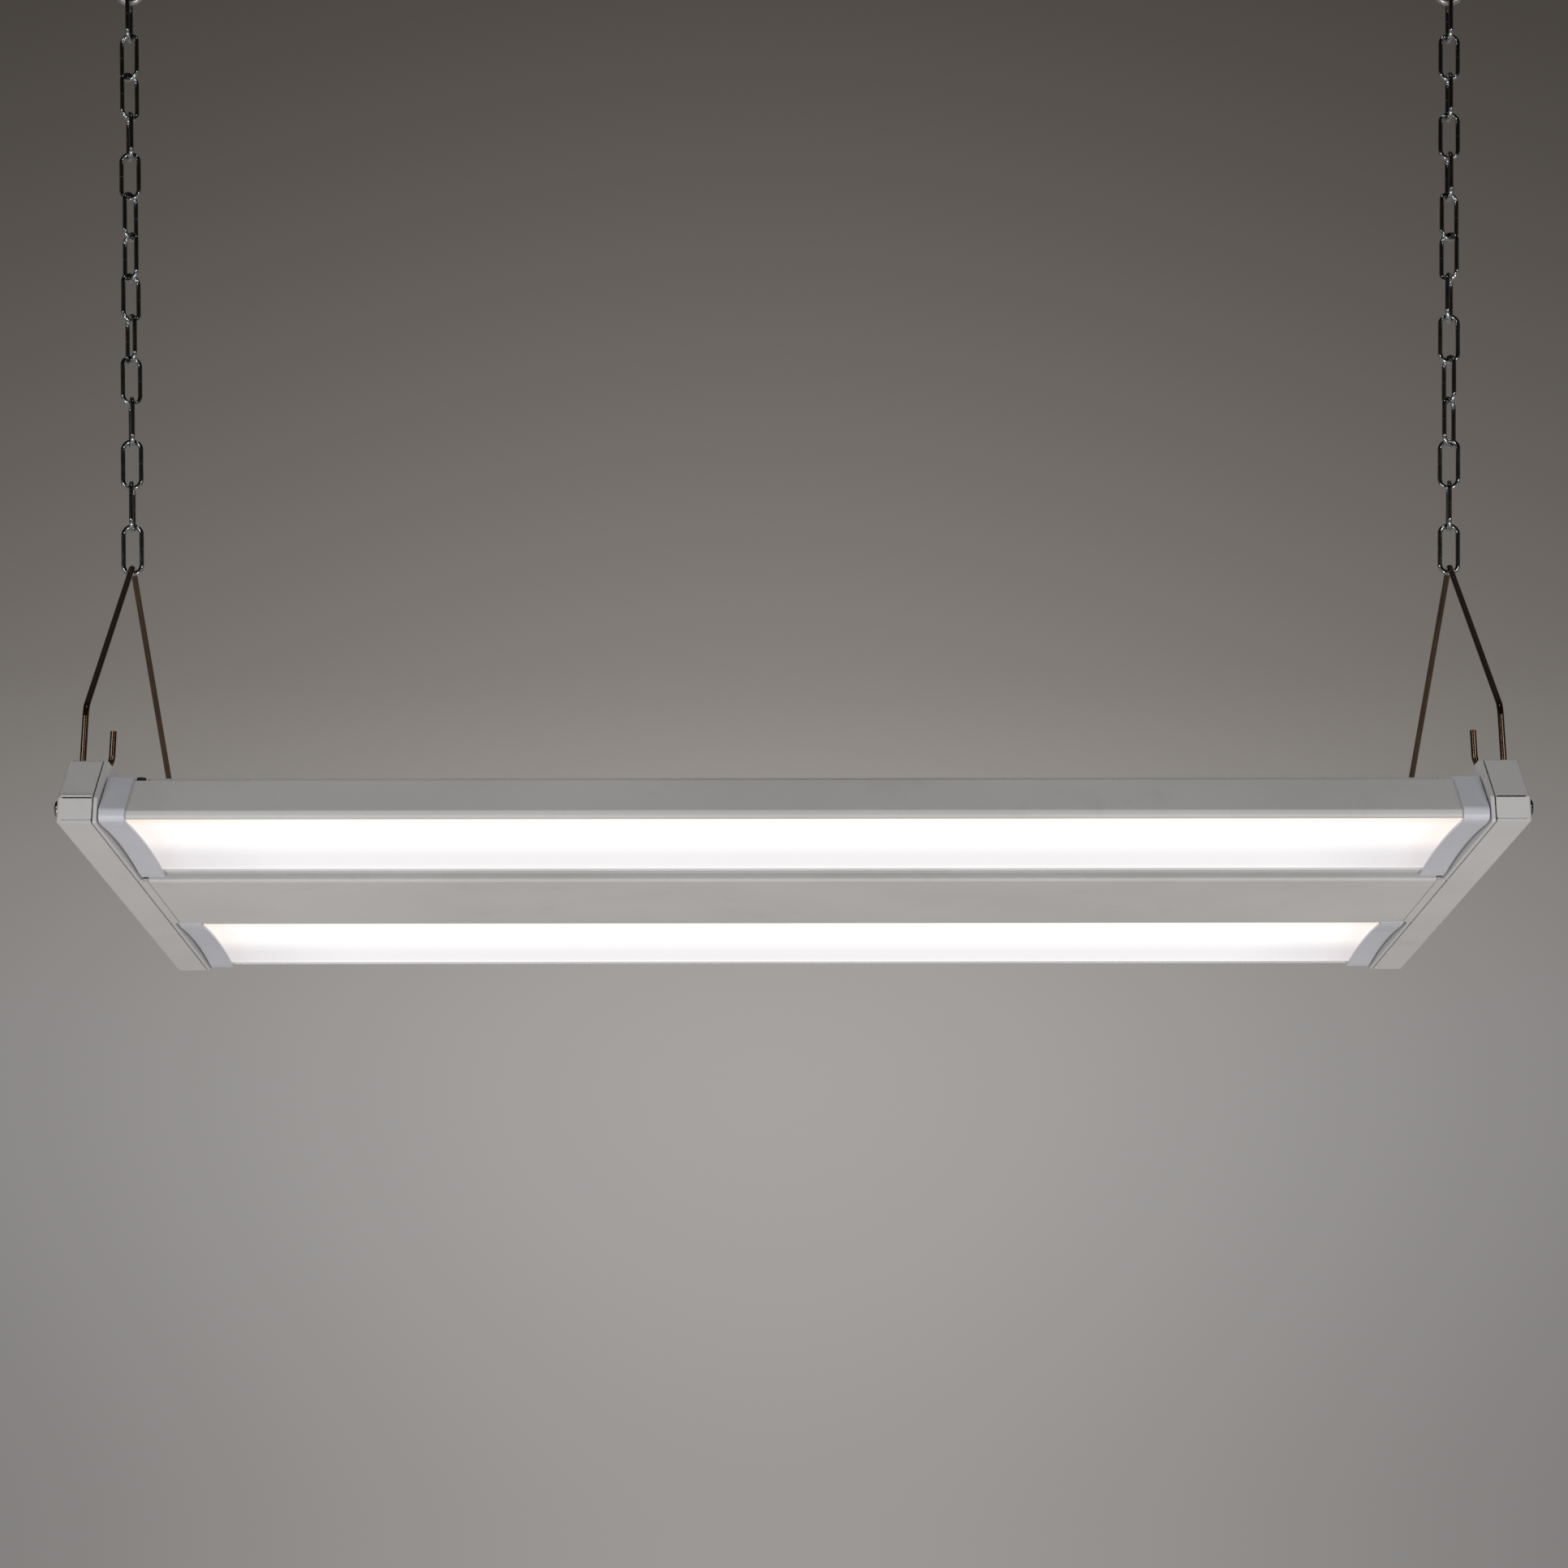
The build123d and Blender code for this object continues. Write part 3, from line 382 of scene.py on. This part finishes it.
paint = paint_material()
cap = cap_material()
lens = lens_material()
chain = plated_material("plated_chain", tone(136, 141, 142), tone(160, 165, 165), 0.09)
zinc = plated_material("zinc_hook", tone(130, 129, 127), tone(182, 181, 178), 0.26)
hanger = hanger_material()
screw = plated_material("dark_screw", tone(96, 92, 90), tone(150, 146, 142), 0.18)
board = plain_material("board_coat", tone(228, 228, 230), tone(236, 236, 237), 0.5)
chip = plain_material("phosphor_chip", tone(240, 214, 120), tone(246, 224, 140), 0.35)
lead = plain_material("lead_insulation", tone(26, 26, 27), tone(36, 36, 37), 0.45)
grommet = plain_material("rubber_grommet", tone(20, 20, 20), tone(30, 29, 29), 0.55)
driver = plain_material(
    "driver_sheet", tone(200, 200, 202), tone(214, 214, 216), 0.4, metallic=0.9
)
inlet = plain_material("inlet_plastic", tone(24, 24, 25), tone(34, 34, 36), 0.38)
# Near-black material for the beads in the channels' seams: painted shadow of the gap.
seam_shadow_fill = plain_material("painted_seam_shadow", tone(30, 27, 25), tone(48, 43, 39), 0.6)
blade = plain_material(
    "plated_blade", tone(200, 194, 176), tone(218, 212, 194), 0.24, metallic=1.0
)

# Material of every node whose name ends so
MATERIALS = {
    "hanger": hanger,
    "end_channel": paint,
    "end_plate": paint,
    "screws": screw,
    "housing": paint,
    "lens": lens,
    "board": board,
    "chips": chip,
    "lead": lead,
    "cap": cap,
    "tray": paint,
    "cover": paint,
    "driver": driver,
    "inlet": inlet,
    "blades": blade,
    "grommets": grommet,
    "hook": zinc,
}


def finish_of(name):
    """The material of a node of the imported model."""
    if "_link_" in name:
        return chain
    for ending, material in MATERIALS.items():
        if name.endswith(ending):
            return material
    raise ValueError("no material for " + name)


for name, piece in frame["nodes"].items():
    material = finish_of(name)
    if not piece.material_slots:
        piece.data.materials.append(material)
    for slot in piece.material_slots:
        slot.material = material


# ---------------------------------------------------------------- rolled edges of the end channels, and painted shadow in their seams
def bead(name, start_x, end_x, place_y, place_z, radius, material):
    """A rolled sheet edge, or a dark bead of painted seam shadow, along X with round ends, whose
    radius swells and dips a little.
    """
    straight = abs(end_x - start_x) / 2 - radius
    mesh = bmesh.new()
    bmesh.ops.create_uvsphere(mesh, u_segments=EDGE_RING, v_segments=EDGE_RINGS, radius=radius)
    bmesh.ops.rotate(mesh, verts=mesh.verts, matrix=Matrix.Rotation(math.pi / 2, 3, "Y"))
    for vert in mesh.verts:
        vert.co.x += math.copysign(straight, vert.co.x)
    long_edges = [edge for edge in mesh.edges if edge.calc_length() > straight / 2]
    bmesh.ops.subdivide_edges(mesh, edges=long_edges, cuts=EDGE_CUTS)
    for vert in mesh.verts:
        if abs(vert.co.x) < straight:
            turn = EDGE_WAVES * math.pi * vert.co.x / straight
            swell = 1.0 + EDGE_SWELL * math.sin(turn)
            vert.co.y *= swell
            vert.co.z *= swell
    centre = ((start_x + end_x) / 2, place_y, place_z)
    bmesh.ops.translate(mesh, verts=mesh.verts, vec=centre)
    data = bpy.data.meshes.new(name)
    mesh.to_mesh(data)
    mesh.free()
    data.polygons.foreach_set("use_smooth", [True] * len(data.polygons))
    data.materials.append(material)
    piece = bpy.data.objects.new(name, data)
    bpy.context.scene.collection.objects.link(piece)
    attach(piece, "lamp")


for side in SIDES:
    low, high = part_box(side + "_end_channel")
    if side == "left":
        outer_x, inner_x = low.x + CORNER, high.x - OPEN_EDGE
    else:
        outer_x, inner_x = high.x - CORNER, low.x + OPEN_EDGE
    for end, face_y, inwards in (("front", low.y, 1), ("rear", high.y, -1)):
        edge = f"{side}_{end}"
        seam_y = face_y + inwards * SEAM_DEPTH
        seam_z = low.z + FACE_HEIGHT
        # A dark bead in the seam under the slope: painted shadow of the seam's gap.
        bead(edge + "_slope_seam_shadow", inner_x, outer_x, seam_y, seam_z, SEAM_SHADOW_RADIUS, seam_shadow_fill)
        lip_y = face_y + inwards * LIP_DEPTH
        lip_z = seam_z + SEAM_SHADOW_RADIUS + LIP_RISE
        if side == "left":
            bead(edge + "_slope_lip", inner_x, outer_x, lip_y, lip_z, LIP, paint)
        fold_z = low.z + FOLD_HEIGHT
        bead(edge + "_face_fold", inner_x, outer_x, lip_y, fold_z, FOLD, paint)


# ---------------------------------------------------------------- stage
def floor():
    """A pale paper floor far below, which doesn't belong to the lamp."""
    mesh = bpy.data.meshes.new("studio_floor")
    half = FLOOR_SIZE / 2
    corners = [(-half, -half), (half, -half), (half, half), (-half, half)]
    mesh.from_pydata([(x, y, FLOOR_HEIGHT) for x, y in corners], [], [(0, 1, 2, 3)])
    piece = bpy.data.objects.new("studio_floor", mesh)
    bpy.context.scene.collection.objects.link(piece)
    made = Shader("studio_paper")
    mottle = made.noise(3.0, detail=3.0)
    made.set(
        Base_Color=made.blend(mottle, tone(150, 148, 146), tone(156, 154, 152)),
        Roughness=0.9,
        Emission_Color=tone(*FLOOR_GLOW),
        Emission_Strength=1.0,
    )
    mesh.materials.append(made.material)


def world():
    """A studio backdrop, pale behind the lamp and dark grey above it, in a dimmer room."""
    made = bpy.data.worlds.new("studio")
    bpy.context.scene.world = made
    made.use_nodes = True
    tree = made.node_tree
    direction = tree.nodes.new("ShaderNodeTexCoord").outputs["Generated"]
    parts = tree.nodes.new("ShaderNodeSeparateXYZ")
    tree.links.new(direction, parts.inputs[0])

    def ramp(axis, stops):
        """Tones or shares along an axis of the direction, whose values run from -1 to 1."""
        value = tree.nodes.new("ShaderNodeMapRange")
        value.inputs["From Min"].default_value = -1.0
        tree.links.new(parts.outputs[axis], value.inputs["Value"])
        made = tree.nodes.new("ShaderNodeValToRGB")
        made.color_ramp.interpolation = "CARDINAL"
        ready = made.color_ramp.elements
        for number, (position, level) in enumerate(stops):
            place = (position + 1) / 2
            stop = ready[number] if number < 2 else ready.new(place)
            stop.position = place
            is_share = isinstance(level, float)
            stop.color = (level, level, level, 1.0) if is_share else tone(*level)
        tree.links.new(value.outputs["Result"], made.inputs[0])
        return made.outputs[0]

    def multiply(first, second):
        made = tree.nodes.new("ShaderNodeMix")
        made.data_type = "RGBA"
        made.blend_type = "MULTIPLY"
        made.inputs[0].default_value = 1.0
        tree.links.new(first, made.inputs[6])
        tree.links.new(second, made.inputs[7])
        return made.outputs[2]

    shade = multiply(ramp("Z", BACKDROP), ramp("X", SIDE_FALL))
    shade = multiply(shade, ramp("Y", ROOM))
    tree.links.new(shade, tree.nodes["Background"].inputs["Color"])


def area_light(name, place, width, height, power, mirrored):
    """A softbox aimed at the lamp; one that isn't mirrored shows in no shiny wire."""
    data = bpy.data.lights.new(name, "AREA")
    data.shape = "RECTANGLE"
    data.size = width
    data.size_y = height
    data.energy = power
    softbox = bpy.data.objects.new(name, data)
    aim = Vector((0.0, 0.0, lamp_underside)) - Vector(place)
    softbox.location = place
    softbox.rotation_euler = aim.to_track_quat("-Z", "Y").to_euler()
    softbox.visible_camera = False
    softbox.visible_glossy = mirrored
    bpy.context.scene.collection.objects.link(softbox)


def camera():
    """The camera of the main view."""
    data = bpy.data.cameras.new("camera")
    data.lens = CAMERA_LENS
    data.sensor_width = CAMERA_SENSOR
    made = bpy.data.objects.new("camera", data)
    made.location = (CAMERA_SIDE, -CAMERA_DISTANCE, lamp_underside - CAMERA_DROP)
    up, roll, turn = (math.radians(angle) for angle in CAMERA_TURN)
    made.rotation_euler = (math.pi / 2 + up, roll, turn)
    bpy.context.scene.collection.objects.link(made)
    bpy.context.scene.camera = made


floor()
world()
for name, softbox in LIGHTS.items():
    area_light(name, *softbox)
camera()
bpy.context.scene.view_settings.view_transform = "Standard"
